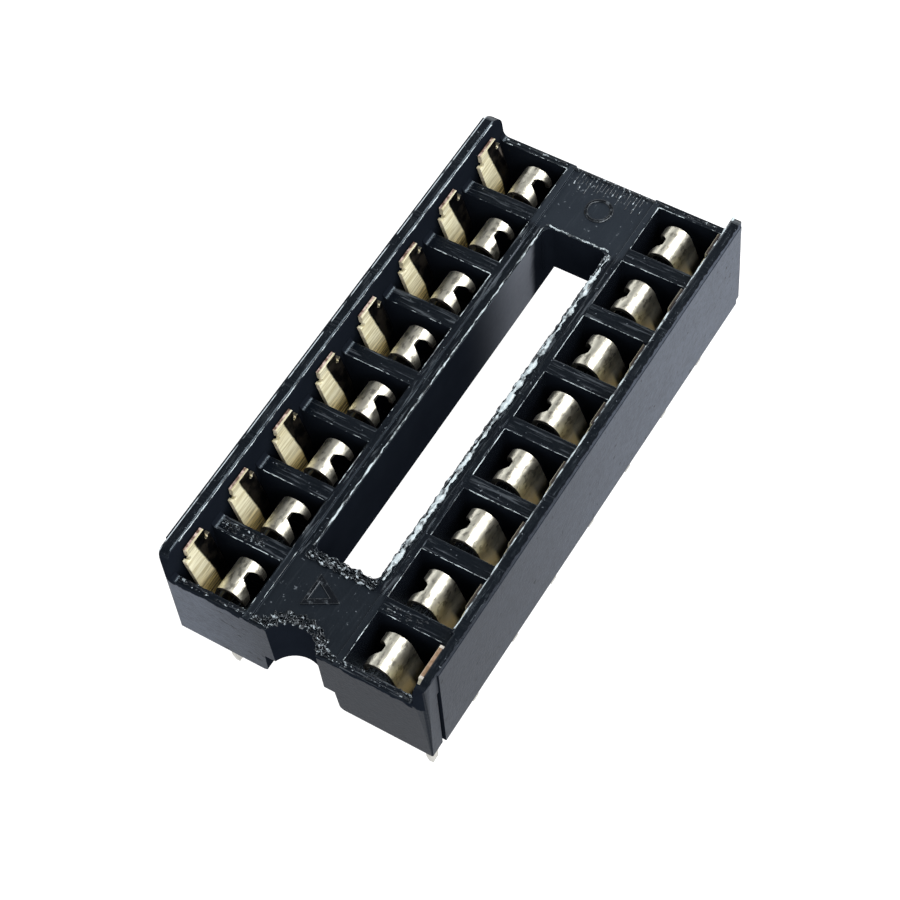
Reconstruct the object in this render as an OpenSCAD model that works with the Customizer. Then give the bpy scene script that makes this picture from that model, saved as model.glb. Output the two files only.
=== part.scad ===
// Sixteen-way socket for a dual in-line chip, with folded two-leaf contacts.
// The board's face is z = 0, the rows run along Y, and the notched end faces -Y.

/* [Layout] */
// Distance between neighbouring contacts along a row
pitch = 2.54; // [2.5:0.01:2.6]
// Distance between the two rows of contacts
row_spacing = 7.62; // [7.58:0.01:7.7]
// Distance from the last contact of a row to the end of the body
end_reach = 1.26; // [1.2:0.01:1.5]
// Distance from the middle of a row to the side of the body at the rims' top
side_reach = 1.19; // [1.16:0.01:1.26]

/* [Body] */
// Height of the deck over the board
deck_h = 3.3; // [3.2:0.05:4.2]
// Distance from the deck down to the parting line of the ends
parting_drop = 0.25; // [0.1:0.05:0.6]
// Inward draft of each side from the rims' top to the board
side_draft = 0.12; // [0.01:0.01:0.15]
// Inward draft of each end below the parting line
end_draft = 0.08; // [0.01:0.01:0.12]
// Wall between a pocket and the widest line of the side
wall_t = 0.55; // [0.48:0.01:0.6]
// Wall between two pockets of a row
partition_t = 0.56; // [0.4:0.02:0.7]
// Thickness of the pocket floors
floor_t = 0.8; // [0.6:0.05:1]
// Radius of the upright corners
corner_r = 0.4; // [0.2:0.05:0.5]
// Length of the set-back zone of the sides at the notched end
near_zone = 0.77; // [0.6:0.01:0.9]
// Length of the set-back zone of the sides at the plain end
far_zone = 0.42; // [0.4:0.01:0.9]
// Depth of the set-back
skin_step = 0.07; // [0.03:0.01:0.1]
// Width of the groove along the set-back at the notched end
seam_w = 0.1; // [0.06:0.02:0.16]
// Depth of that groove at the foot of a side
seam_depth = 0.15; // [0.05:0.05:0.3]

/* [Rims] */
// Height of the side rims over the deck
rim_h = 1.1; // [1:0.05:1.5]
// Thickness of a rim at its flat top
rim_t = 0.48; // [0.4:0.01:0.52]
// Radius of a rim's inner top edge
rim_inner_r = 0.12; // [0.04:0.02:0.2]
// Radius of a rim's outer top edge
rim_outer_r = 0.05; // [0.03:0.01:0.15]
// Radius of the rims' top corners at the ends
rim_end_r = 0.5; // [0.2:0.05:0.8]
// Depth of the chip in a rim beside the worn contact
chip_depth = 0.12; // [0.02:0.02:0.2]
// Height over the deck at which that chip starts
chip_rise = 0.5; // [0.3:0.05:0.8]
// Fillet between a rim and the deck
rim_fillet = 0.2; // [0.05:0.05:0.3]

/* [Window and feet] */
// Width of the window between the rails
window_w = 2.4; // [2:0.05:2.5]
// Radius of the window's corners
window_r = 0.3; // [0.1:0.05:0.6]
// Length of the deck between the notched end and the window
near_bar_l = 3.15; // [2.4:0.05:4]
// Length of the deck between the window and the plain end
far_bar_l = 2.7; // [2:0.05:4]
// Thickness of the deck at both ends of the window
bar_t = 2.2; // [1.6:0.05:2.6]
// Distance between the rails at the board
foot_gap = 2.72; // [2.6:0.02:3]
// Radius of the rails' inner bottom edges
foot_r = 0.2; // [0.05:0.05:0.4]
// Strip of deck between the window and a pocket
strip_w = 0.6; // [0.5:0.02:0.7]
// Width of the lowered middle of the deck
panel_w = 3.1; // [2.8:0.05:3.3]
// Depth by which the middle of the deck is lowered
panel_drop = 0.08; // [0.03:0.01:0.2]
// Radius of the orientation notch
notch_r = 1; // [0.6:0.05:1.1]
// Depth of the notch into the end
notch_depth = 0.65; // [0.3:0.05:1]

/* [Contacts] */
// Thickness of the contact sheet
sheet_t = 0.15; // [0.12:0.01:0.2]
// Width of a contact's leaves
leaf_w = 1.28; // [1.1:0.02:1.6]
// Width of a blade at its tip
tip_w = 0.92; // [0.8:0.02:1]
// Height of the blade tips over the deck
tip_rise = 0.74; // [0.66:0.02:0.9]
// Height of a tip's upright end
tip_l = 0.3; // [0.2:0.05:0.4]
// Radius of the neck notches under a tip
neck_r = 0.07; // [0.03:0.01:0.1]
// Distance of the neck notches below the tip's bend
neck_drop = 0.04; // [0.04:0.01:0.1]
// Contact that has lost the tab over its shoulders, or 0 for none
worn_pin = 1; // [0:1:16]
// Height over the deck at which that contact ends
worn_rise = 0.66; // [0.5:0.02:0.8]
// Depth of the blade's bend below the deck
blade_bend_depth = 0.95; // [0.7:0.05:1.2]
// Distance of a blade's inner face from the middle of the row
blade_offset = 0.14; // [0.08:0.01:0.18]
// Gap at which the two leaves grip a lead
grip_gap = 0.22; // [0.16:0.01:0.26]
// Depth of the grip below the deck
grip_depth = 1.95; // [1.8:0.05:2]
// Outer radius of the rolled leaf end
roll_r = 0.54; // [0.45:0.01:0.55]
// Distance of the roll's centre from the middle of the row
roll_reach = 1.06; // [1:0.01:1.15]
// Depth of the roll's centre below the deck
roll_depth = 0.66; // [0.6:0.02:0.8]
// Angle below level at which the roll ends
roll_end_angle = 8; // [0:1:30]
// Radius of the notch in the roll's free end
lead_in_r = 0.25; // [0.15:0.01:0.3]
// Angle above level at which that notch is centred
lead_in_angle = 30; // [20:1:40]
// Inner radius of the folds at a contact's foot
fold_r = 0.06; // [0.04:0.01:0.1]
// Distance of the inner leaf's foot from the middle of the row
leaf_foot_reach = 0.42; // [0.4:0.01:0.5]
// Width of a solder tail
tail_w = 0.5; // [0.4:0.02:0.6]
// Length of a solder tail below the board's face
tail_l = 3.2; // [2.4:0.1:4]
// Width of a tail's tip
tail_tip_w = 0.3; // [0.2:0.02:0.4]
// Length of the taper at a tail's tip
tail_taper_l = 0.5; // [0.2:0.05:0.8]

/* [Clearances] */
// Gap between a blade's tip and the rim behind it
blade_gap = 0.02; // [0.02:0.01:0.06]
// Gap all round a tail in its slot in the floor
slot_gap = 0.05; // [0.02:0.01:0.1]

/* [Hidden] */
row_count = 8;
pin_count = 2 * row_count;
function contact_name(pin) = str("contact_", pin < 10 ? "0" : "", pin);
function on_right(pin) = pin <= row_count;
function place_of(pin) = on_right(pin) ? pin - 1 : pin_count - pin;

// Facets that stand for a full circle in the preview
arc_fn = 48;
// Overshoot of a cut past the face that it opens
past = 1;
// Largest turn between two corners of a bend's mask
mask_turn = 45;
// Length by which a bend laps over the straights beside it
lap = 0.02;

half_w = row_spacing / 2 + side_reach;
first_y = -(row_count - 1) * pitch / 2;
half_l = end_reach - first_y;
rim_top = deck_h + rim_h;
rim_in = half_w - rim_t;
parting_z = deck_h - parting_drop;
row_x = row_spacing / 2;
pocket_out = half_w - wall_t;
pocket_in = window_w / 2 + strip_w;
pocket_l = pitch - partition_t;
foot_x = foot_gap / 2;
bar_z = deck_h - bar_t;
panel_z = deck_h - panel_drop;
shoulder_z = deck_h + tip_rise - tip_l - neck_drop - neck_r;

function unit(v) = v / norm(v);
function left_of(v) = [-v[1], v[0]];
function turned(v, angle) =
    [v[0] * cos(angle) - v[1] * sin(angle), v[0] * sin(angle) + v[1] * cos(angle)];
function turn_angle(u, v) = atan2(u[0] * v[1] - u[1] * v[0], u * v);

// Cross-section of the right-hand rail, in X and Z
module rail_profile() {
    polygon([
        [foot_x + foot_r, 0],
        [half_w - side_draft, 0],
        [half_w, rim_top - rim_outer_r],
        [half_w - rim_outer_r, rim_top],
        [rim_in + rim_inner_r, rim_top],
        [rim_in, rim_top - rim_inner_r],
        [pocket_out, deck_h],
        [window_w / 2, deck_h],
        [foot_x, foot_r]
    ]);
    translate([half_w - rim_outer_r, rim_top - rim_outer_r])
        circle(r = rim_outer_r, $fn = arc_fn);
    translate([rim_in + rim_inner_r, rim_top - rim_inner_r])
        circle(r = rim_inner_r, $fn = arc_fn);
    translate([foot_x + foot_r, foot_r]) circle(r = foot_r, $fn = arc_fn);
    difference() {
        translate([pocket_out - rim_fillet, deck_h - foot_r])
            square([rim_fillet, rim_fillet + foot_r]);
        translate([pocket_out - rim_fillet, deck_h + rim_fillet])
            circle(r = rim_fillet, $fn = arc_fn);
    }
}

// Everything inside the outer face of the right-hand side, set back by an inset
module side_limit(inset) {
    polygon([
        [0, -past],
        [half_w - side_draft - inset, -past],
        [half_w - side_draft - inset, 0],
        [half_w - inset, rim_top],
        [half_w - inset, rim_top + past],
        [0, rim_top + past]
    ]);
}

// Outline of the body from the side, in Y and Z, with the rims' rounded ends
module end_outline() {
    rim_y = half_l - rim_end_r;
    rim_z = rim_top - rim_end_r;
    polygon([
        [-half_l + end_draft, 0],
        [half_l - end_draft, 0],
        [half_l, parting_z],
        [half_l, rim_z],
        [rim_y, rim_z],
        [rim_y, rim_top],
        [-rim_y, rim_top],
        [-rim_y, rim_z],
        [-half_l, rim_z],
        [-half_l, parting_z]
    ]);
    for (side = [-1, 1])
        translate([side * rim_y, rim_z]) circle(r = rim_end_r, $fn = arc_fn);
}

// Outline from above of the part that reaches the ends, with its round corners
module corner_outline() {
    reach_x = half_w - skin_step - corner_r;
    reach_y = half_l - corner_r;
    square([2 * reach_x, 2 * half_l], center = true);
    square([2 * (reach_x + corner_r), 2 * reach_y], center = true);
    for (x = [-reach_x, reach_x], y = [-reach_y, reach_y])
        translate([x, y]) circle(r = corner_r, $fn = arc_fn);
}

// A profile in X and Z, drawn out along Y about the middle
module along_y(length) {
    rotate([90, 0, 0]) linear_extrude(height = length, center = true) children();
}

// An outline in Y and Z, drawn out along X about the middle
module along_x(length) {
    rotate([90, 0, 90]) linear_extrude(height = length, center = true) children();
}

module both_sides() {
    children();
    mirror([1, 0, 0]) children();
}

// The two rails with their rims; the middle stretch stands proud of the ends
module rails() {
    intersection() {
        along_y(2 * half_l + past) both_sides() intersection() {
            rail_profile();
            side_limit(skin_step);
        }
        difference() {
            linear_extrude(height = rim_top + past) corner_outline();
            both_sides() seam_cut();
        }
        along_x(2 * half_w + past) end_outline();
    }
    translate([0, (near_zone - far_zone) / 2, 0])
        along_y(2 * half_l - near_zone - far_zone) both_sides() rail_profile();
}

// Upright groove where the set-back of the notched end begins, up to the deck
module seam_cut() {
    foot = half_w - side_draft - skin_step;
    translate([foot - seam_depth, -half_l + near_zone - seam_w, -past])
        cube([seam_depth + past, seam_w + lap, deck_h + past]);
}

// Deck that joins the rails from an end of the body to the window
module bar(end_y, length) {
    inward = end_y < 0 ? 1 : -1;
    edge_y = end_y + inward * length;
    intersection() {
        union() {
            translate([-foot_x, min(end_y, edge_y), bar_z]) cube([foot_gap, length, bar_t]);
            for (side = [-1, 1])
                translate([side * window_w / 2, edge_y, bar_z])
                    linear_extrude(height = bar_t) corner_fill(-side, inward);
        }
        along_x(2 * half_w) end_outline();
    }
}

// Round filling of a window corner, towards given signs of X and Y
module corner_fill(x_sign, y_sign) {
    spread = foot_x - window_w / 2;
    difference() {
        translate([x_sign > 0 ? -spread : -window_r, -window_r])
            square([spread + window_r, 2 * window_r]);
        translate([x_sign * window_r, y_sign * window_r]) circle(r = window_r, $fn = arc_fn);
    }
}

module pocket_cut() {
    translate([pocket_in, -pocket_l / 2, floor_t])
        cube([pocket_out - pocket_in, pocket_l, rim_top]);
}

// Chip in the inner edge of a rim, over one pocket
module rim_chip() {
    translate([pocket_out - lap, -pocket_l / 2, deck_h + chip_rise])
        cube([rim_in + chip_depth - pocket_out + lap, pocket_l, rim_h]);
}

module tail_slot() {
    slot_x = sheet_t + 2 * slot_gap;
    slot_y = tail_w + 2 * slot_gap;
    translate([row_x - slot_x / 2, -slot_y / 2, -past])
        cube([slot_x, slot_y, floor_t + 2 * past]);
}

module housing() {
    color("#25272d") difference() {
        union() {
            rails();
            bar(-half_l, near_bar_l);
            bar(half_l, far_bar_l);
        }
        for (place = [0 : row_count - 1])
            translate([0, first_y + place * pitch, 0]) both_sides() {
                pocket_cut();
                tail_slot();
            }
        if (worn_pin > 0)
            translate([0, first_y + place_of(worn_pin) * pitch, 0])
                mirror([on_right(worn_pin) ? 0 : 1, 0, 0]) rim_chip();
        translate([-panel_w / 2, -half_l - past, panel_z])
            cube([panel_w, 2 * (half_l + past), past]);
        translate([0, -half_l - notch_r + notch_depth, bar_z - past])
            cylinder(r = notch_r, h = bar_t + 2 * past, $fn = arc_fn);
    }
}

// Where the line from a point touches a circle on its outer side, as an angle
function touch_angle(point, centre, radius) =
    let (away = point - centre)
    atan2(away[1], away[0]) + 360 - acos(radius / norm(away));

// Straight stretch of sheet between two points of its middle line
module straight(start, end, thickness) {
    side = left_of(unit(end - start)) * thickness / 2;
    polygon([start + side, end + side, end - side, start - side]);
}

// Bend from a point of the middle line on, through an angle that is positive to
// the left; it laps over the straight before it and, unless free, the one after it
module bent(start, way, angle, radius, thickness, free = false) {
    hand = sign(angle);
    centre = start + radius * hand * left_of(way);
    spoke = unit(start - centre);
    way_out = turned(way, angle);
    spoke_out = turned(spoke, angle);
    inner = radius - thickness / 2;
    outer = radius + thickness / 2;
    end_lap = free ? 0 : lap;
    steps = ceil(abs(angle) / mask_turn);
    intersection() {
        translate(centre) difference() {
            circle(r = outer, $fn = arc_fn);
            circle(r = inner, $fn = arc_fn);
        }
        polygon(concat(
            [centre, centre + inner * spoke, centre + inner * spoke - lap * way],
            [centre + 2 * outer * spoke - lap * way],
            [for (i = [0 : steps]) centre + 2 * outer * turned(spoke, angle * i / steps)],
            [centre + 2 * outer * spoke_out + end_lap * way_out],
            [centre + inner * spoke_out + end_lap * way_out, centre + inner * spoke_out]
        ));
    }
}

// Sheet along a path of points, with a bend of the given radius at each inner one
module folded_sheet(points, radii, thickness) {
    last = len(points) - 1;
    way = [for (i = [0 : last - 1]) unit(points[i + 1] - points[i])];
    turn = [for (i = [0 : last]) i == 0 || i == last ? 0 : turn_angle(way[i - 1], way[i])];
    setback = [for (i = [0 : last]) radii[i] * tan(abs(turn[i]) / 2)];
    for (i = [0 : last - 1])
        straight(points[i] + setback[i] * way[i],
            points[i + 1] - setback[i + 1] * way[i], thickness);
    for (i = [1 : last - 1])
        bent(points[i] - setback[i] * way[i - 1], way[i - 1], turn[i], radii[i], thickness);
}

// Side view of a contact: x runs from the middle of the row towards the window
module contact_profile() {
    mid = sheet_t / 2;
    tip_x = row_x - min(pocket_out, rim_in) + blade_gap + mid;
    blade_x = -blade_offset - mid;
    web_z = floor_t + mid;
    grip = [grip_gap - blade_offset + mid, deck_h - grip_depth];
    roll = [roll_reach, deck_h - roll_depth];
    roll_mid_r = roll_r - mid;
    leaf_angle = touch_angle(grip, roll, roll_mid_r);
    leaf_top = roll + roll_mid_r * [cos(leaf_angle), sin(leaf_angle)];
    tip_mid_r = sheet_t;
    bend_mid_r = 2 * sheet_t;
    fold_mid_r = fold_r + mid;
    folded_sheet([
        [tip_x, deck_h + tip_rise],
        [tip_x, deck_h + tip_rise - tip_l],
        [blade_x, deck_h - blade_bend_depth],
        [blade_x, web_z],
        [leaf_foot_reach, web_z],
        grip,
        leaf_top
    ], [0, tip_mid_r, bend_mid_r, fold_mid_r, fold_mid_r, bend_mid_r, 0], sheet_t);
    bent(leaf_top, unit(leaf_top - grip), -leaf_angle - roll_end_angle, roll_mid_r,
        sheet_t, free = true);
}

// What is cut off beside a blade's upper end, in Y and Z
module shoulder_cut() {
    translate([tip_w / 2, shoulder_z]) {
        square([leaf_w, rim_top]);
        circle(r = neck_r, $fn = arc_fn);
    }
}

// What the worn contact has lost with its tab, in Y and Z
module worn_cut() {
    translate([-leaf_w, deck_h + worn_rise]) square([2 * leaf_w, rim_top]);
}

// Notch in the roll's free end that lets a lead in
module lead_in_cut() {
    flare = 1.3;
    translate([roll_reach, 0, deck_h - roll_depth]) rotate([0, -lead_in_angle, 0]) {
        rotate([0, 90, 0]) cylinder(r = lead_in_r, h = roll_r + past, $fn = arc_fn);
        rotate([90, 0, 90]) linear_extrude(height = roll_r + past) polygon([
            [-lead_in_r, 0],
            [-flare * lead_in_r, -roll_r],
            [flare * lead_in_r, -roll_r],
            [lead_in_r, 0]
        ]);
    }
}

// Solder tail, in Y and Z
module tail_outline() {
    polygon([
        [-tail_w / 2, floor_t + sheet_t / 2],
        [-tail_w / 2, -tail_l + tail_taper_l],
        [-tail_tip_w / 2, -tail_l],
        [tail_tip_w / 2, -tail_l],
        [tail_w / 2, -tail_l + tail_taper_l],
        [tail_w / 2, floor_t + sheet_t / 2]
    ]);
}

// One contact, for a place counted from 1 round the socket
module contact(pin) {
    side = on_right(pin) ? 1 : -1;
    color("#d9d3bf") translate([side * row_x, first_y + place_of(pin) * pitch, 0])
        rotate([0, 0, side > 0 ? 180 : 0]) {
            difference() {
                along_y(leaf_w) contact_profile();
                translate([-past / 2, 0, 0]) along_x(past)
                    if (pin == worn_pin) worn_cut();
                    else for (edge = [0, 1]) mirror([edge, 0]) shoulder_cut();
                lead_in_cut();
            }
            along_x(sheet_t) tail_outline();
        }
}

housing();
for (pin = [1 : pin_count])
    contact(pin);
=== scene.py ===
import math

import bmesh
import bpy
from mathutils import Matrix, Vector


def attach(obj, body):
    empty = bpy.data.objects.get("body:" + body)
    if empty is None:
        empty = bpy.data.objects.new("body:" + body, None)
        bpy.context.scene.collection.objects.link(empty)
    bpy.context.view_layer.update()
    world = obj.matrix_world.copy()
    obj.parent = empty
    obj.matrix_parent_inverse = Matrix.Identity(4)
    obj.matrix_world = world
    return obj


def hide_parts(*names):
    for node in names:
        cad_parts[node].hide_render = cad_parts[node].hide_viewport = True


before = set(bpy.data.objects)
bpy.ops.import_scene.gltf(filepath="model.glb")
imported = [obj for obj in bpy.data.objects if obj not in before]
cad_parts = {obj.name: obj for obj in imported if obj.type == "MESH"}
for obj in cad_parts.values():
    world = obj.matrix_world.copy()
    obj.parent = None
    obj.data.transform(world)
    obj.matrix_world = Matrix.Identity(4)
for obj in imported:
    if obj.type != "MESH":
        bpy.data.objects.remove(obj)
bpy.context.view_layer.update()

# The view: a long lens over the notched end, looking down on both rows of
# contacts, with the socket turned about a sixth of a turn to the right.
MM = 0.001
look_az, look_el, look_roll = math.radians(38.151), math.radians(56.955), math.radians(-7.926)
eye = Vector((28.355, -37.060, 72.195)) * MM
to_eye = Vector((math.sin(look_az) * math.cos(look_el),
                 -math.cos(look_az) * math.cos(look_el),
                 math.sin(look_el)))
level = (-to_eye).cross(Vector((0, 0, 1))).normalized()
upright = level.cross(-to_eye)
across = math.cos(look_roll) * level + math.sin(look_roll) * upright
above = math.cos(look_roll) * upright - math.sin(look_roll) * level
camera = bpy.data.objects.new("camera", bpy.data.cameras.new("camera"))
camera.data.sensor_width = 36
camera.data.lens = 102.876
camera.data.clip_start, camera.data.clip_end = 1 * MM, 2
camera.matrix_world = Matrix.Translation(eye) @ Matrix((across, above, to_eye)).transposed().to_4x4()
bpy.context.scene.collection.objects.link(camera)
bpy.context.scene.camera = camera
bpy.context.scene.view_settings.view_transform = "Standard"

# The stage: a white sheet lit from within under the solder tails, in a white
# room with a dim ceiling, so that the black tops stay dark on a white ground.
floor_z, floor_size, floor_glow = -3.2 * MM, 1.2, 0.93
bpy.ops.mesh.primitive_plane_add(size=floor_size, location=(0, 0, floor_z))
floor = bpy.context.object
floor.name = "floor"
paper = bpy.data.materials.new("paper")
paper.use_nodes = True
sheet = paper.node_tree.nodes["Principled BSDF"]
sheet.inputs["Base Color"].default_value = (0.3, 0.3, 0.3, 1)
sheet.inputs["Roughness"].default_value = 0.9
sheet.inputs["Specular IOR Level"].default_value = 0
sheet.inputs["Emission Color"].default_value = (1, 1, 1, 1)
sheet.inputs["Emission Strength"].default_value = floor_glow
floor.data.materials.append(paper)
room = bpy.data.worlds.new("room")
room.use_nodes = True
sky = room.node_tree
direction = sky.nodes.new("ShaderNodeTexCoord")
parts = sky.nodes.new("ShaderNodeSeparateXYZ")
walls = sky.nodes.new("ShaderNodeFloatCurve")
fade = walls.mapping.curves[0]
for place, value in ((0.25, 1.0), (0.45, 0.62), (0.62, 0.17), (0.8, 0.08)):
    fade.points.new(place, value)
fade.points[0].location = (0.0, 1.0)
fade.points[-1].location = (1.0, 0.06)
walls.mapping.update()
brightness = sky.nodes.new("ShaderNodeMath")
brightness.operation = "MULTIPLY"
brightness.inputs[1].default_value = 2.0
sky.links.new(direction.outputs["Generated"], parts.inputs[0])
sky.links.new(parts.outputs["Z"], walls.inputs["Value"])
sky.links.new(walls.outputs[0], brightness.inputs[0])
sky.links.new(brightness.outputs[0], sky.nodes["Background"].inputs["Strength"])
sky.nodes["Background"].inputs["Color"].default_value = (0.97, 0.985, 1, 1)
bpy.context.scene.world = room

# The lights: a window over the plain end, on the right, that draws the white
# streaks on the rolled leaves and on every edge that leans to the right, and
# a weaker one in front, on the right, that fills the pockets.
lamp_distance = 0.25


def lamp(name, way, size, radiance):
    """A rectangle of light that looks at the socket from one way."""
    light = bpy.data.lights.new(name, "AREA")
    light.shape = "RECTANGLE"
    light.size, light.size_y = size
    light.energy = radiance * math.pi * size[0] * size[1]
    holder = bpy.data.objects.new(name, light)
    holder.location = Vector(way) * lamp_distance
    holder.rotation_mode = "QUATERNION"
    holder.rotation_quaternion = (-Vector(way)).to_track_quat("-Z", "Y")
    bpy.context.scene.collection.objects.link(holder)


lamp("window_light", (0.34, 0.43, 0.84), (0.09, 0.17), 9)
lamp("fill_light", (0.6, -0.42, 0.68), (0.12, 0.12), 7)

# The body: one moulding of black thermoplastic with two rails, deck, rims and
# pockets. The mould left brushed decks, polished rims and a matt outer skin.
deck_z, rim_top_z = 3.3, 4.4
pitch, first_y = 2.54, -8.89
window_x, window_near_y, window_far_y = 1.2, -7.0, 7.45
pocket_in, pocket_half = 1.8, 0.99
side_x, end_y, strip_y, tone_y = 4.7, 9.9, 7.2, 9.0

blue_sheen = (0.72, 0.87, 1.0, 1)
jet, worn_jet = (0.0008, 0.0016, 0.0034, 1), (0.0024, 0.0038, 0.0066, 1)
deck_grey, dust_grey, rim_highlight_grey = (0.010, 0.0135, 0.0195, 1), (0.22, 0.25, 0.28, 1), (0.50, 0.56, 0.60, 1)
skin_black, skin_grey = (0.001, 0.001, 0.001, 1), (0.084, 0.097, 0.124, 1)
mottle_black, dent_black = (0.010, 0.010, 0.012, 1), (0.008, 0.009, 0.012, 1)
recess_shade_black, recess_shade_dark = (0.0045, 0.0060, 0.0095, 1), (0.0085, 0.0110, 0.0160, 1)
window_painted_light_grey = (0.150, 0.162, 0.188, 1)


class Socket:
    """A shader socket that takes part in sums, so that a pattern reads as its formula."""

    def __init__(self, finish, socket):
        self.finish, self.socket = finish, socket

    def __add__(self, other):
        return self.finish.maths("ADD", self, other)

    def __sub__(self, other):
        return self.finish.maths("SUBTRACT", self, other)

    def __rsub__(self, other):
        return self.finish.maths("SUBTRACT", other, self)

    def __mul__(self, other):
        return self.finish.maths("MULTIPLY", self, other)

    def __abs__(self):
        return self.finish.maths("ABSOLUTE", self)

    __radd__, __rmul__ = __add__, __mul__

    def wrapped(self, low, high):
        return self.finish.maths("WRAP", self, high, low)

    def least(self, other):
        return self.finish.maths("MINIMUM", self, other)

    def most(self, other):
        return self.finish.maths("MAXIMUM", self, other)

    def ramp(self, low, high, to_low=0.0, to_high=1.0):
        """Smooth change from one value to another while this goes from low to high."""
        return self.finish.node(
            "ShaderNodeMapRange", {"interpolation_type": "SMOOTHSTEP"},
            {"Value": self, "From Min": low, "From Max": high, "To Min": to_low, "To Max": to_high},
            "Result")


class Finish:
    """A node material for one surface, with its Principled shader and its coordinates in millimetres."""

    def __init__(self, name, **constants):
        self.data = bpy.data.materials.new(name)
        self.data.use_nodes = True
        self.tree = self.data.node_tree
        self.shader = self.tree.nodes["Principled BSDF"]
        for socket, value in constants.items():
            self.shader.inputs[socket.replace("_", " ")].default_value = value
        self.place = self.node("ShaderNodeTexCoord", {}, {}, "Object")
        self.x, self.y, self.z = (self.node("ShaderNodeSeparateXYZ", {}, {0: self.place}, axis) * (1 / MM)
                                  for axis in "XYZ")

    def node(self, kind, settings, values, out):
        """One node of a kind: its settings first, then its sockets' values or links."""
        made = self.tree.nodes.new(kind)
        for key, value in settings.items():
            setattr(made, key, value)
        for key, value in values.items():
            if isinstance(value, Socket):
                self.tree.links.new(value.socket, made.inputs[key])
            elif value is not None:
                made.inputs[key].default_value = value
        return Socket(self, made.outputs[out])

    def maths(self, operation, *values):
        return self.node("ShaderNodeMath", {"operation": operation}, dict(enumerate(values)), "Value")

    def noise(self, scale, detail=3.0, rough=0.55, seed=(0.0, 0.0, 0.0)):
        """A noise with its own number of grains per millimetre along each axis."""
        place = self.node("ShaderNodeMapping", {"vector_type": "POINT"},
                          {"Vector": self.place, "Scale": [s / MM for s in scale], "Location": seed},
                          "Vector")
        return self.node("ShaderNodeTexNoise", {},
                         {"Vector": place, "Scale": 1.0, "Detail": detail, "Roughness": rough}, "Fac")

    def facing(self, axis):
        """How far the face's own normal points along an axis, from -1 to 1."""
        normal = self.node("ShaderNodeNewGeometry", {}, {}, "True Normal")
        return self.node("ShaderNodeSeparateXYZ", {}, {0: normal}, axis)

    def blend(self, share, colour_a, colour_b):
        """Colour a where the share is 0 and colour b where it is 1."""
        return self.node("ShaderNodeMix", {"data_type": "RGBA", "clamp_factor": True},
                         {0: share, 6: colour_a, 7: colour_b}, 2)

    def bump(self, height, strength, distance_mm, under=None):
        return self.node("ShaderNodeBump", {},
                         {"Height": height, "Strength": strength, "Distance": distance_mm * MM,
                          "Normal": under}, "Normal")

    def rounded(self, radius_mm):
        """The normal as it is where sharp edges are broken by a small radius."""
        return self.node("ShaderNodeBevel", {"samples": 6}, {"Radius": radius_mm * MM}, "Normal")

    def feed(self, **sockets):
        for name, value in sockets.items():
            self.tree.links.new(value.socket, self.shader.inputs[name.replace("_", " ")])

    def overlay(self, share, colour, normal, **constants):
        """Another Principled shader that takes over where the share is 1."""
        values = {name.replace("_", " "): value for name, value in constants.items()}
        over = self.node("ShaderNodeBsdfPrincipled", {},
                         {"Base Color": colour, "Normal": normal, **values}, "BSDF")
        surface = self.tree.nodes["Material Output"].inputs["Surface"]
        under = Socket(self, surface.links[0].from_socket)
        both = self.node("ShaderNodeMixShader", {}, {0: share, 1: under, 2: over}, "Shader")
        self.tree.links.new(both.socket, surface)


plastic = Finish("moulded_black_plastic", IOR=1.5, Specular_Tint=blue_sheen)
across_x, along_y, height = abs(plastic.x), plastic.y, plastic.z
up = plastic.facing("Z").ramp(0.7, 0.95)
to_right = plastic.facing("X").ramp(0.7, 0.95)
to_side = abs(plastic.facing("X")).ramp(0.7, 0.95)
to_end = abs(plastic.facing("Y")).ramp(0.7, 0.95)
ragged = plastic.noise((3, 5, 5), detail=4)
right_rim_edge = up * (plastic.x + 0.14 * ragged).ramp(4.97, 4.985) * height.ramp(4.3, 4.35)
on_side = (to_side * across_x.ramp(side_x, side_x + 0.05)).most(right_rim_edge)
on_end = to_end * abs(along_y).ramp(end_y, end_y + 0.1) \
    * (1.0 - (height + 0.5 * ragged).ramp(deck_z + 0.06, deck_z + 0.1))
on_skin = (on_side + on_end).least(1.0)
place_in_row = (along_y - first_y).wrapped(-pitch / 2, pitch / 2)
on_partition = abs(place_in_row).ramp(pocket_half - 0.01, pocket_half + 0.01) \
    * across_x.ramp(pocket_in - 0.02, pocket_in + 0.02) * up
on_deck = (1.0 - across_x.ramp(pocket_in - 0.1, pocket_in)) * up * abs(along_y).ramp(strip_y, strip_y + 0.3)
in_recess = (1.0 - up) * (1.0 - on_skin)

# The decks and rims, brushed along the rails and across the partitions.
grain_along = plastic.noise((9, 0.8, 9), detail=4)
grain_across = plastic.noise((0.8, 11, 9), detail=4, seed=(3, 1, 7))
grain = grain_along * (1.0 - on_partition) + grain_across * on_partition
scratch = grain.ramp(0.55, 0.68) * up * (1.0 - 0.9 * on_deck) * (1.0 - 0.8 * height.ramp(3.6, 3.9))
cloud = plastic.noise((0.9, 0.9, 0.9), detail=4, seed=(5, 2, 1))
speck = plastic.noise((7, 7, 7), detail=2, seed=(1, 8, 3)).ramp(0.68, 0.74)
# Painted highlight: a broken pale line along the left rim's outer top edge.
left_rim_painted_highlight = (0.0 - plastic.x).ramp(4.885, 4.9) * plastic.x.ramp(-4.93, -4.915) \
    * height.ramp(4.33, 4.35) * plastic.noise((2, 1.2, 2)).ramp(0.40, 0.50) * up
colour = plastic.blend(cloud, jet, worn_jet)
colour = plastic.blend(on_deck * along_y.ramp(-tone_y, tone_y, 0.25, 1.0), colour, deck_grey)
colour = plastic.blend((speck * 0.5 + scratch * 0.24).least(1.0) * up, colour, dust_grey)
colour = plastic.blend(left_rim_painted_highlight, colour, rim_highlight_grey)
micro = plastic.bump(plastic.noise((22, 22, 22), detail=3, seed=(2, 2, 2)), 0.25, 0.012,
                     plastic.rounded(0.035))
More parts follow.
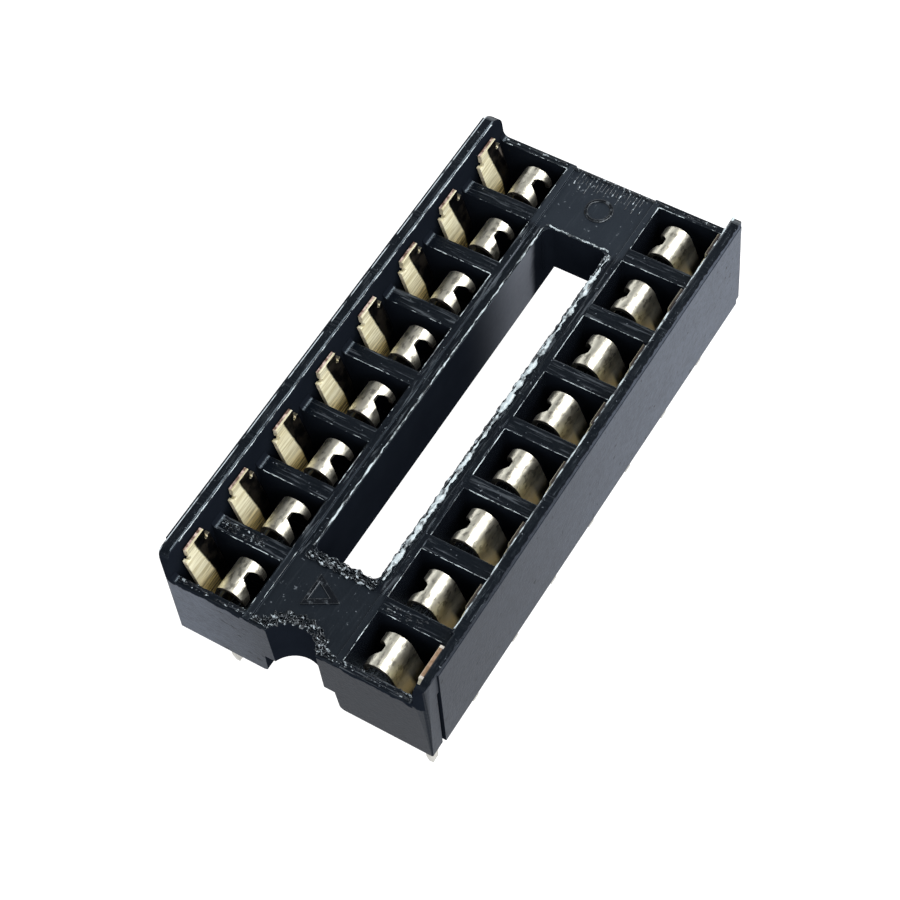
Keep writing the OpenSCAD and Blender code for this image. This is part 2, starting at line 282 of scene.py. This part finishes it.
plastic.feed(Base_Color=colour, Roughness=0.18 + 0.1 * cloud + 0.12 * on_deck,
             Normal=plastic.bump(grain * (1.0 - 0.75 * on_deck), 0.8, 0.03, micro))

# The matt skin of the long sides and of the ends, lighter towards the plain end.
dents = plastic.noise((1.6, 3.5, 3.5), detail=3, seed=(7, 7, 1)).ramp(0.66, 0.72)
mottle = plastic.noise((5, 5, 5), detail=5, rough=0.7, seed=(3, 3, 9))
side_tone = on_side * along_y.ramp(-tone_y, tone_y) * 0.62 + on_side * 0.38
# Painted shade on the end faces: lighter at the left, darker towards the right.
end_painted_shade = on_end * plastic.x.ramp(-4.5, 0.5, 0.90, 0.22)
skin = plastic.blend(side_tone + end_painted_shade, skin_black, skin_grey)
skin = plastic.blend(cloud * 0.3 + mottle.ramp(0.4, 0.65) * 0.22, skin, mottle_black)
skin = plastic.blend(dents, skin, dent_black)
orange_peel = plastic.bump(plastic.noise((9, 9, 9), detail=4, seed=(0, 3, 2)), 0.5, 0.03,
                           plastic.rounded(0.05))
plastic.overlay(on_skin, skin, orange_peel,
                Roughness=0.5, Specular_IOR_Level=0.07, Specular_Tint=blue_sheen)

# The inner walls: painted shade, a dull dark shader without reflections over them,
# painted light on the window's left wall, paler near the plain end, with a painted
# shadow at that end, and polished where the right pockets' walls mirror the rolls.
# Painted light on the window's left wall, paler towards the plain end, with a painted shadow over its far
# end.
pale = along_y.ramp(0.5, 6.2)
pale = pale * pale * pale * (1.0 - (along_y + 0.5 * cloud).ramp(6.5, 7.0)) \
    * (1.0 - across_x.ramp(1.6, 1.65)) * to_right * (1.0 - 0.3 * mottle)
# Painted shade: dark colours and no reflections for every inner wall.
shade = plastic.blend(pale, plastic.blend(cloud, recess_shade_black, recess_shade_dark), window_painted_light_grey)
plastic.overlay(in_recess, shade, micro, Roughness=0.3, Specular_IOR_Level=0.0)
polished = in_recess * to_right * plastic.x.ramp(pocket_in - 0.1, pocket_in - 0.05) \
    * (1.0 - plastic.x.ramp(pocket_in + 0.05, pocket_in + 0.1))
plastic.overlay(polished, shade, plastic.rounded(0.03), Roughness=0.16, Specular_IOR_Level=1.0)

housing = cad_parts["housing"]
housing.data.materials.clear()
housing.data.materials.append(plastic.data)

# The contacts: strips of spring bronze, tin-plated before they were cut and
# folded. The faces are pale and brushed, the cut edges show the copper colour,
# and each roll has a wide arched notch that leads the component's pin in.
notch_foot_z, notch_top_z, notch_half, notch_lean_z = 2.58, 3.17, 0.39, 2.6
cutter_foot_z, cutter_in_x, cutter_out_x, cutter_steps = 2.25, 2.0, 2.6, 24
tip_shift, tip_from_z, tip_rise = 0.06, 3.55, 0.3

tin_dull, tin_bright, pit_brown = (0.68, 0.655, 0.55, 1), (0.93, 0.90, 0.77, 1), (0.17, 0.155, 0.12, 1)
cream_dull, cream_bright = (0.60, 0.53, 0.31, 1), (0.94, 0.90, 0.68, 1)
golden_dull, golden_bright = (0.20, 0.15, 0.06, 1), (0.90, 0.72, 0.32, 1)
under_roll_shade_black, under_roll_shade_brown = (0.020, 0.016, 0.009, 1), (0.12, 0.10, 0.055, 1)
under_roll_lit_golden, tail_grey = (0.95, 0.80, 0.46, 1), (0.40, 0.39, 0.36, 1)
painted_reflection_black, painted_reflection_brown = (0.014, 0.014, 0.017, 1), (0.075, 0.065, 0.055, 1)
edge_brown, edge_copper, right_edge_shade = (0.20, 0.12, 0.09, 1), (0.84, 0.64, 0.56, 1), (0.06, 0.045, 0.04, 1)
bare_copper, first_tip_shade_black, first_tip_painted_glint = (0.50, 0.31, 0.18, 1), (0.03, 0.022, 0.02, 1), (1.0, 0.93, 0.84, 1)

tin = Finish("plated_spring_bronze")
tin_x, tin_z = abs(tin.x), tin.z
in_row = (tin.y - first_y).wrapped(-pitch / 2, pitch / 2)
outward, tin_up, sheet_side = abs(tin.facing("X")), tin.facing("Z"), abs(tin.facing("Y"))
streak = tin.noise((14, 0.8, 14), detail=4)
stain = tin.noise((2.2, 2.2, 2.2), detail=4, seed=(4, 0, 2))
pits = tin.noise((7, 3.5, 7), detail=4, seed=(1, 1, 6)).ramp(0.5, 0.64)
worn = tin.noise((5, 5, 5), detail=4, seed=(6, 2, 2)).ramp(0.42, 0.6)
on_blade = tin_x.ramp(3.72, 3.8) * tin_z.ramp(0.7, 0.9)
under_roll = (1.0 - tin_z.ramp(1.9, 2.6)) * (1.0 - on_blade)
on_shoulder = tin_up.ramp(0.8, 0.95) * tin_z.ramp(3.5, 3.55) * (1.0 - tin_z.ramp(3.75, 3.8)) \
    * in_row.ramp(0.2, 0.3)
# Painted reflection: the far part of each blade and the tops of the shoulders are coloured near black where
# they mirror the dark plastic.
painted_reflection = (in_row + 0.14 * tin_z + 0.1 * streak).ramp(0.50, 0.57) * on_blade * outward.ramp(0.7, 0.9)
painted_reflection = painted_reflection.most(0.8 * on_shoulder)
on_cut = (sheet_side.ramp(0.8, 0.95) * 0.35
          + tin_up.ramp(0.85, 0.97) * tin_z.ramp(3.88, 3.94) * tin_x.ramp(4.33, 4.36)).least(1.0)
past_first = tin.y.ramp(-8.0, -7.9)
on_first = (1.0 - past_first) * tin.x.ramp(0.0, 0.1)
on_other_right = (tin.x.ramp(-0.5, 0.5) * past_first).least(1.0)

# Their colours: the rolls, the blades, a painted shade under the rolls with a
# painted light on its near half, painted reflections of the dark plastic on the
# blades and shoulders, the cut edges with painted shade on the right row and
# painted glints on the first contact, and last the solder tails.
face = tin.blend(stain, tin_dull, tin_bright)
face = tin.blend(pits * tin_z.ramp(2.4, 2.9, 0.25, 0.65), face, pit_brown)
golden = tin.blend(streak.ramp(0.4, 0.6), golden_dull, golden_bright)
cream = tin.blend(streak.ramp(0.3, 0.7), cream_dull, cream_bright)
face = tin.blend(on_blade, face, tin.blend((tin_z + 0.3 * stain).ramp(2.1, 3.0), golden, cream))
# Painted shade under the rolls, with a painted golden light on the near half just below them.
lit = tin_z.ramp(1.6, 1.85) * (1.0 - (in_row + 0.2 * stain).ramp(0.0, 0.2))
under = tin.blend(stain.ramp(0.45, 0.65), under_roll_shade_black, under_roll_shade_brown)
face = tin.blend(under_roll, face, tin.blend(lit, under, under_roll_lit_golden))
face = tin.blend(painted_reflection, face, tin.blend(stain.ramp(0.4, 0.6), painted_reflection_black, painted_reflection_brown))
copper = tin.blend(worn, edge_brown, edge_copper)
copper = tin.blend(on_first * 0.75, copper, bare_copper)
# Painted shade over the outer part of the first contact's broken end, and painted glints at its two corners.
copper = tin.blend(on_first * tin.x.ramp(4.455, 4.47), copper, first_tip_shade_black)
copper = tin.blend(on_first * abs(in_row).ramp(0.53, 0.56), copper, first_tip_painted_glint)
# Painted shade: the cut edges of the other contacts in the right row are darkened.
copper = tin.blend(on_other_right, copper, right_edge_shade)
face = tin.blend(on_cut, face, copper)
face = tin.blend(1.0 - tin_z.ramp(-0.3, 0.2), face, tail_grey)
waves = tin.bump(tin.noise((1.6, 1.6, 1.6), detail=2), 0.8, 0.05, tin.rounded(0.03))
tin.feed(Base_Color=face, Metallic=1.0 - 0.7 * on_blade * (1.0 - painted_reflection) - 0.45 * under_roll,
         Roughness=0.26 + 0.16 * stain + 0.1 * streak, Normal=tin.bump(streak, 0.35, 0.012, waves))


def notch_cutter(side, middle_y, lean):
    """A short bar along the width with an arched section, through the window side of a roll."""
    outline = [(-1.0, cutter_foot_z)]
    for step in range(cutter_steps + 1):
        turn = math.pi * step / cutter_steps
        wide = math.copysign(abs(math.cos(turn)) ** 0.8, -math.cos(turn))
        outline.append((wide, notch_foot_z + (notch_top_z - notch_foot_z) * math.sin(turn)))
    outline.append((1.0, cutter_foot_z))
    bar = bmesh.new()
    rings = [[bar.verts.new((side * x * MM,
                             (middle_y + notch_half * u + lean * (z - notch_lean_z)) * MM, z * MM))
              for u, z in outline] for x in (cutter_in_x, cutter_out_x)]
    bar.faces.new(rings[0])
    bar.faces.new(rings[1][::-1])
    for i in range(len(outline)):
        j = (i + 1) % len(outline)
        bar.faces.new((rings[0][j], rings[0][i], rings[1][i], rings[1][j]))
    bmesh.ops.recalc_face_normals(bar, faces=bar.faces)
    mesh = bpy.data.meshes.new("notch_cutter")
    bar.to_mesh(mesh)
    bar.free()
    return bpy.data.objects.new("notch_cutter", mesh)


for number in range(1, 17):
    name = f"leaf_{number:02d}"
    side = 1 if number <= 8 else -1
    steps = number - 1 if number <= 8 else 16 - number
    middle_y = first_y + pitch * steps
    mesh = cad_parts[f"contact_{number:02d}"].data.copy()
    work = bmesh.new()
    work.from_mesh(mesh)
    bmesh.ops.remove_doubles(work, verts=work.verts, dist=1e-7)
    bmesh.ops.recalc_face_normals(work, faces=work.faces)
    work.to_mesh(mesh)
    work.free()
    mesh.materials.clear()
    mesh.materials.append(tin.data)
    leaf = bpy.data.objects.new(name, mesh)
    bpy.context.scene.collection.objects.link(leaf)
    cutter = notch_cutter(side, middle_y + (-0.03 if side > 0 else 0.05), 0.1 * math.sin(number * 2.1))
    bpy.context.scene.collection.objects.link(cutter)
    cut = leaf.modifiers.new("notch", "BOOLEAN")
    cut.object, cut.solver, cut.operation = cutter, "EXACT", "DIFFERENCE"
    notched = bpy.data.meshes.new_from_object(leaf.evaluated_get(bpy.context.evaluated_depsgraph_get()))
    leaf.modifiers.clear()
    notched.name = name
    leaf.data = notched
    bpy.data.objects.remove(cutter)
    if side > 0:
        for corner in notched.vertices:
            lift = min(1.0, max(0.0, (corner.co.z / MM - tip_from_z) / tip_rise))
            corner.co.x += tip_shift * lift * MM
    notched.update()
    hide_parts(f"contact_{number:02d}")
    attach(leaf, "root")

# The flash: thin ragged ribbons of the same plastic that the worn mould left
# along the edges of the window, the notch and the ends; their grey patches and the
# pale ribbons by the window are painted highlights. Pale beads along the pocket
# edges, the panel step and the rims are painted highlights too.
panel_z = 3.22
flash_black, flash_highlight_grey = (0.002, 0.003, 0.005, 1), (0.34, 0.39, 0.42, 1)
highlight_flash_dark, painted_highlight_pale = (0.03, 0.038, 0.045, 1), (0.52, 0.60, 0.63, 1)
flash_sheen = (0.86, 0.93, 1.0, 1)

flash = Finish("ragged_plastic_flash", IOR=1.6, Specular_Tint=flash_sheen)
flash_tone = flash.noise((7, 7, 7), detail=4)
# Painted highlight: grey patches on the black flash stand for its sparkles.
flash.feed(Base_Color=flash.blend(flash_tone.ramp(0.54, 0.62), flash_black, flash_highlight_grey),
           Roughness=0.1 + 0.2 * flash_tone,
           Normal=flash.bump(flash.noise((18, 18, 18), detail=3), 0.4, 0.012))
# Painted highlight: pale ribbons where the edges of the window, the pockets, the panel step and the rims
# catch the light.
highlight_flash = Finish("flash_painted_highlight", IOR=1.6)
highlight_flash_tone = highlight_flash.noise((5, 2.2, 5), detail=4, seed=(2, 4, 4))
highlight_flash.feed(Base_Color=highlight_flash.blend(highlight_flash_tone.ramp(0.38, 0.56), highlight_flash_dark, painted_highlight_pale),
          Roughness=0.15 + 0.25 * highlight_flash_tone,
          Normal=highlight_flash.bump(highlight_flash.noise((14, 14, 14), detail=3), 0.5, 0.02))


def ribbon_tree(material):
    """A tube along a path that swells and thins with a noise, with a crinkled skin."""
    tree = bpy.data.node_groups.new("ribbon", "GeometryNodeTree")
    tree.interface.new_socket("Path", in_out="INPUT", socket_type="NodeSocketGeometry")
    for name, default in (("Width", 0.1 * MM), ("Height", 0.05 * MM), ("Rag", 0.03 * MM),
                          ("Step", 0.06 * MM), ("Grain", 3000.0), ("Thinnest", 0.12)):
        tree.interface.new_socket(name, in_out="INPUT", socket_type="NodeSocketFloat").default_value = default
    tree.interface.new_socket("Geometry", in_out="OUTPUT", socket_type="NodeSocketGeometry")

    def node(kind, inputs=(), out=0, **settings):
        made = tree.nodes.new(kind)
        for key, value in settings.items():
            setattr(made, key, value)
        for key, value in dict(inputs).items():
            if isinstance(value, bpy.types.NodeSocket):
                tree.links.new(value, made.inputs[key])
            else:
                made.inputs[key].default_value = value
        return made.outputs[out]

    given = tree.nodes.new("NodeGroupInput").outputs
    curve = node("GeometryNodeMeshToCurve", {0: given["Path"]})
    curve = node("GeometryNodeResampleCurve", {"Curve": curve, "Length": given["Step"]}, mode="LENGTH")
    curve = node("GeometryNodeSetCurveNormal", {"Curve": curve}, mode="Z_UP")
    swell = node("ShaderNodeTexNoise", {"Vector": node("GeometryNodeInputPosition"),
                                        "Scale": given["Grain"], "Detail": 3.0, "Roughness": 0.7})
    swell = node("ShaderNodeMapRange", {"Value": swell, "From Min": 0.38, "From Max": 0.62,
                                        "To Min": given["Thinnest"], "To Max": 1.0})
    section = node("GeometryNodeCurvePrimitiveCircle", {"Resolution": 10, "Radius": 1.0})
    size = node("ShaderNodeCombineXYZ", {0: given["Width"], 1: given["Height"], 2: 1.0})
    section = node("GeometryNodeTransform", {"Geometry": section, "Scale": size})
    tube = node("GeometryNodeCurveToMesh", {"Curve": curve, "Profile Curve": section,
                                            "Scale": swell, "Fill Caps": True})
    crinkle = node("ShaderNodeTexNoise", {"Vector": node("GeometryNodeInputPosition"),
                                          "Scale": 9000.0, "Detail": 2.0}, out=1)
    crinkle = node("ShaderNodeVectorMath", {0: crinkle, 1: (0.5, 0.5, 0.5)}, operation="SUBTRACT")
    crinkle = node("ShaderNodeVectorMath", {0: crinkle, "Scale": given["Rag"]}, operation="SCALE")
    tube = node("GeometryNodeSetPosition", {"Geometry": tube, "Offset": crinkle})
    tube = node("GeometryNodeRealizeInstances", {"Geometry": tube})
    tube = node("GeometryNodeSetMaterial", {"Geometry": tube, "Material": material})
    tree.links.new(tube, tree.nodes.new("NodeGroupOutput").inputs[0])
    return tree


ribbon_trees = {"flash": ribbon_tree(flash.data), "highlight_flash": ribbon_tree(highlight_flash.data)}


def ribbon(name, paths, width, height, rag, step=0.06, grain=2500.0, kind="flash", thinnest=0.12):
    """Flash along open paths, given as lists of points in millimetres."""
    mesh = bpy.data.meshes.new(name)
    edges, start = [], 0
    for path in paths:
        edges += [(start + i, start + i + 1) for i in range(len(path) - 1)]
        start += len(path)
    mesh.from_pydata([point * MM for path in paths for point in path], edges, [])
    piece = bpy.data.objects.new(name, mesh)
    bpy.context.scene.collection.objects.link(piece)
    grow = piece.modifiers.new("ribbon", "NODES")
    grow.node_group = ribbon_trees[kind]
    values = {"Width": width * MM, "Height": height * MM, "Rag": rag * MM, "Step": step * MM,
              "Grain": grain, "Thinnest": thinnest}
    for item in grow.node_group.interface.items_tree:
        if item.in_out == "INPUT" and item.name in values:
            grow[item.identifier] = values[item.name]
    grown = bpy.data.meshes.new_from_object(piece.evaluated_get(bpy.context.evaluated_depsgraph_get()))
    piece.modifiers.clear()
    piece.data = grown
    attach(piece, "root")


def line(start, end, sway, count):
    """A straight path with a small sway across it."""
    a, b = Vector(start), Vector(end)
    over = (b - a).cross(Vector((0, 0, 1))).normalized()
    return [a.lerp(b, i / count) + over * sway * math.sin(i * 1.9 + a.x * 3) * math.sin(i * 0.7 + a.y)
            for i in range(count + 1)]


def along(x, near_y, far_y, z, sway, count):
    """A swaying path along the rails."""
    return line((x, near_y, z), (x, far_y, z), sway, count)


def over_width(left_x, right_x, y, z, sway, count):
    """A swaying path across the width."""
    return line((left_x, y, z), (right_x, y, z), sway, count)


def arc(middle, radius, start, end, z, sway, count):
    """A swaying path round a centre, between two angles in degrees from the width axis."""
    path = []
    for i in range(count + 1):
        turn = math.radians(start + (end - start) * i / count)
        reach = radius + sway * math.sin(i * 2.3) * math.sin(i * 0.9 + 1)
        path.append(Vector((middle[0] + reach * math.cos(turn), middle[1] + reach * math.sin(turn), z)))
    return path


window_start, window_end, window_split = window_near_y + 0.1, window_far_y - 0.1, 1.0
ribbon("flash_window_right", [along(window_x + 0.12, window_start, window_split, deck_z - 0.03, 0.03, 50),
                              along(window_x + 0.10, window_split, window_end, deck_z - 0.055, 0.03, 40)],
       0.125, 0.08, 0.09, grain=1800.0, kind="highlight_flash")
ribbon("flash_window_edge", [along(window_x + 0.01, window_start, window_end, deck_z - 0.05, 0.02, 90)],
       0.05, 0.05, 0.05)
ribbon("flash_window_left", [along(-window_x - 0.04, window_start, window_end, deck_z - 0.02, 0.02, 90)],
       0.04, 0.04, 0.04, grain=900.0, kind="highlight_flash")
ribbon("flash_window_near", [over_width(-window_x - 0.05, window_x + 0.1, window_near_y - 0.02 - 0.1 * k,
                                        deck_z - 0.03, 0.06, 30) for k in range(4)],
       0.05, 0.06, 0.16, step=0.05, grain=4500.0)
ribbon("flash_window_far", [over_width(-window_x, window_x, window_far_y + 0.03, deck_z - 0.02, 0.03, 24)],
       0.04, 0.04, 0.08, step=0.05, grain=5000.0, kind="highlight_flash")
ribbon("flash_notch", [arc((0, -10.5), 1.03 + 0.1 * k, 24, 156, deck_z - 0.03, 0.12, 34) for k in range(4)],
       0.045, 0.055, 0.2, step=0.045, grain=4800.0)
ribbon("flash_near_edge", [over_width(side * 1.05, side * 4.3, -10.04 + 0.07 * k, deck_z - 0.025, 0.03, 40)
                           for side in (-1, 1) for k in range(3)],
       0.035, 0.045, 0.12, step=0.05, grain=3800.0)
ribbon("flash_far_edge", [over_width(-4.3, 4.3, 10.04, deck_z - 0.02, 0.03, 60)],
       0.05, 0.05, 0.08, grain=3000.0)
first_wall_y = first_y + pitch / 2
ribbon("flash_partitions", [over_width(-4.2, -2.6, first_wall_y + 0.07 * k, deck_z - 0.015, 0.05, 24)
                            for k in range(-2, 3)] +
                           [over_width(2.0, 3.4, first_wall_y + 0.08 * k, deck_z - 0.02, 0.04, 24)
                            for k in range(-2, 2)],
       0.03, 0.045, 0.14, step=0.05, grain=5200.0)
# Painted highlights: thin pale beads along the pocket edges.
pocket_edges = []
for i in range(8):
    near_y = first_y + pitch * i - pocket_half
    far_y = first_y + pitch * i + pocket_half
    pocket_edges += [along(pocket_in - 0.015, near_y, far_y, deck_z - 0.006, 0.004, 12),
                     over_width(pocket_in, 4.3, far_y + 0.015, deck_z - 0.006, 0.006, 16),
                     over_width(-4.2, -pocket_in, far_y + 0.015, deck_z - 0.008, 0.006, 16),
                     along(-pocket_in + 0.015, near_y, far_y, deck_z - 0.01, 0.006, 12)]
ribbon("painted_highlight_pocket_edges", pocket_edges, 0.018, 0.018, 0.012, step=0.05, grain=1300.0, kind="highlight_flash")
ribbon("painted_highlight_panel_step", [along(-1.57, -9.4, -7.2, deck_z - 0.006, 0.006, 24)],
       0.02, 0.016, 0.015, grain=1500.0, kind="highlight_flash")
ribbon("painted_highlight_right_rim", [along(4.585, first_y + pitch * 0.45, 9.95, rim_top_z - 0.045, 0.012, 120)],
       0.06, 0.04, 0.025, grain=900.0, kind="highlight_flash", thinnest=0.55)
ribbon("painted_highlight_left_rim", [along(-4.56, -9.3, 9.6, rim_top_z - 0.03, 0.012, 90)],
       0.022, 0.022, 0.015, grain=1400.0, kind="highlight_flash", thinnest=0.1)
ribbon("flash_far_strokes", [line((-1.3 + 0.13 * k, 9.45 + 0.2 * math.sin(k * 2.7), panel_z - 0.012),
                                  (-1.3 + 0.13 * k, 10.08, panel_z - 0.006), 0.01, 12) for k in range(21)],
       0.03, 0.035, 0.03, step=0.05, grain=2500.0)

# The marks: a raised open triangle by the notch, that points at the first
# contact, and a raised ring at the plain end, both moulded with the body.
mark_foot_z, mark_edge = panel_z - 0.03, 0.03
pointer_y, pointer_top_z = -8.25, panel_z + 0.06
pointer_tip_x, pointer_back_x, pointer_half = 0.62, -0.48, 0.63
hollow_tip_x, hollow_back_x, hollow_half = 0.22, -0.34, 0.32
ring_x, ring_y, ring_top_z = 0.05, 8.85, panel_z + 0.045
ring_out, ring_in, ring_step = 0.5, 0.38, 12
mark_black, mark_grey = (0.002, 0.003, 0.005, 1), (0.07, 0.08, 0.09, 1)

mark = Finish("raised_mark_plastic", IOR=1.6, Specular_Tint=flash_sheen)
mark_tone = mark.noise((5, 5, 5), detail=4)
mark.feed(Base_Color=mark.blend(mark_tone.ramp(0.5, 0.7), mark_black, mark_grey),
          Roughness=0.12 + 0.2 * mark_tone,
          Normal=mark.bump(mark.noise((14, 14, 14), detail=3), 0.4, 0.015))


def raised_mark(name, outer, inner, low, high):
    """A raised band between two outlines with as many corners, in millimetres."""
    band = bmesh.new()
    rings = [[band.verts.new((x * MM, y * MM, z * MM)) for x, y in outline]
             for outline, z in ((outer, low), (outer, high), (inner, high), (inner, low))]
    for lower, upper in zip(rings, rings[1:] + rings[:1]):
        for i in range(len(outer)):
            j = (i + 1) % len(outer)
            band.faces.new((lower[i], lower[j], upper[j], upper[i]))
    bmesh.ops.recalc_face_normals(band, faces=band.faces)
    mesh = bpy.data.meshes.new(name)
    band.to_mesh(mesh)
    band.free()
    mesh.materials.append(mark.data)
    piece = bpy.data.objects.new(name, mesh)
    bpy.context.scene.collection.objects.link(piece)
    edge = piece.modifiers.new("edge", "BEVEL")
    edge.width, edge.segments = mark_edge * MM, 3
    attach(piece, "root")


def pointer(tip_x, back_x, half):
    """The three corners of a triangle that points to the right."""
    return [(tip_x, pointer_y), (back_x, pointer_y + half), (back_x, pointer_y - half)]


def ring(radius):
    """The corners of a circle."""
    turns = [math.radians(degrees) for degrees in range(0, 360, ring_step)]
    return [(ring_x + radius * math.cos(turn), ring_y + radius * math.sin(turn)) for turn in turns]


raised_mark("pointer_mark", pointer(pointer_tip_x, pointer_back_x, pointer_half),
            pointer(hollow_tip_x, hollow_back_x, hollow_half), mark_foot_z, pointer_top_z)
raised_mark("ring_mark", ring(ring_out), ring(ring_in), mark_foot_z, ring_top_z)
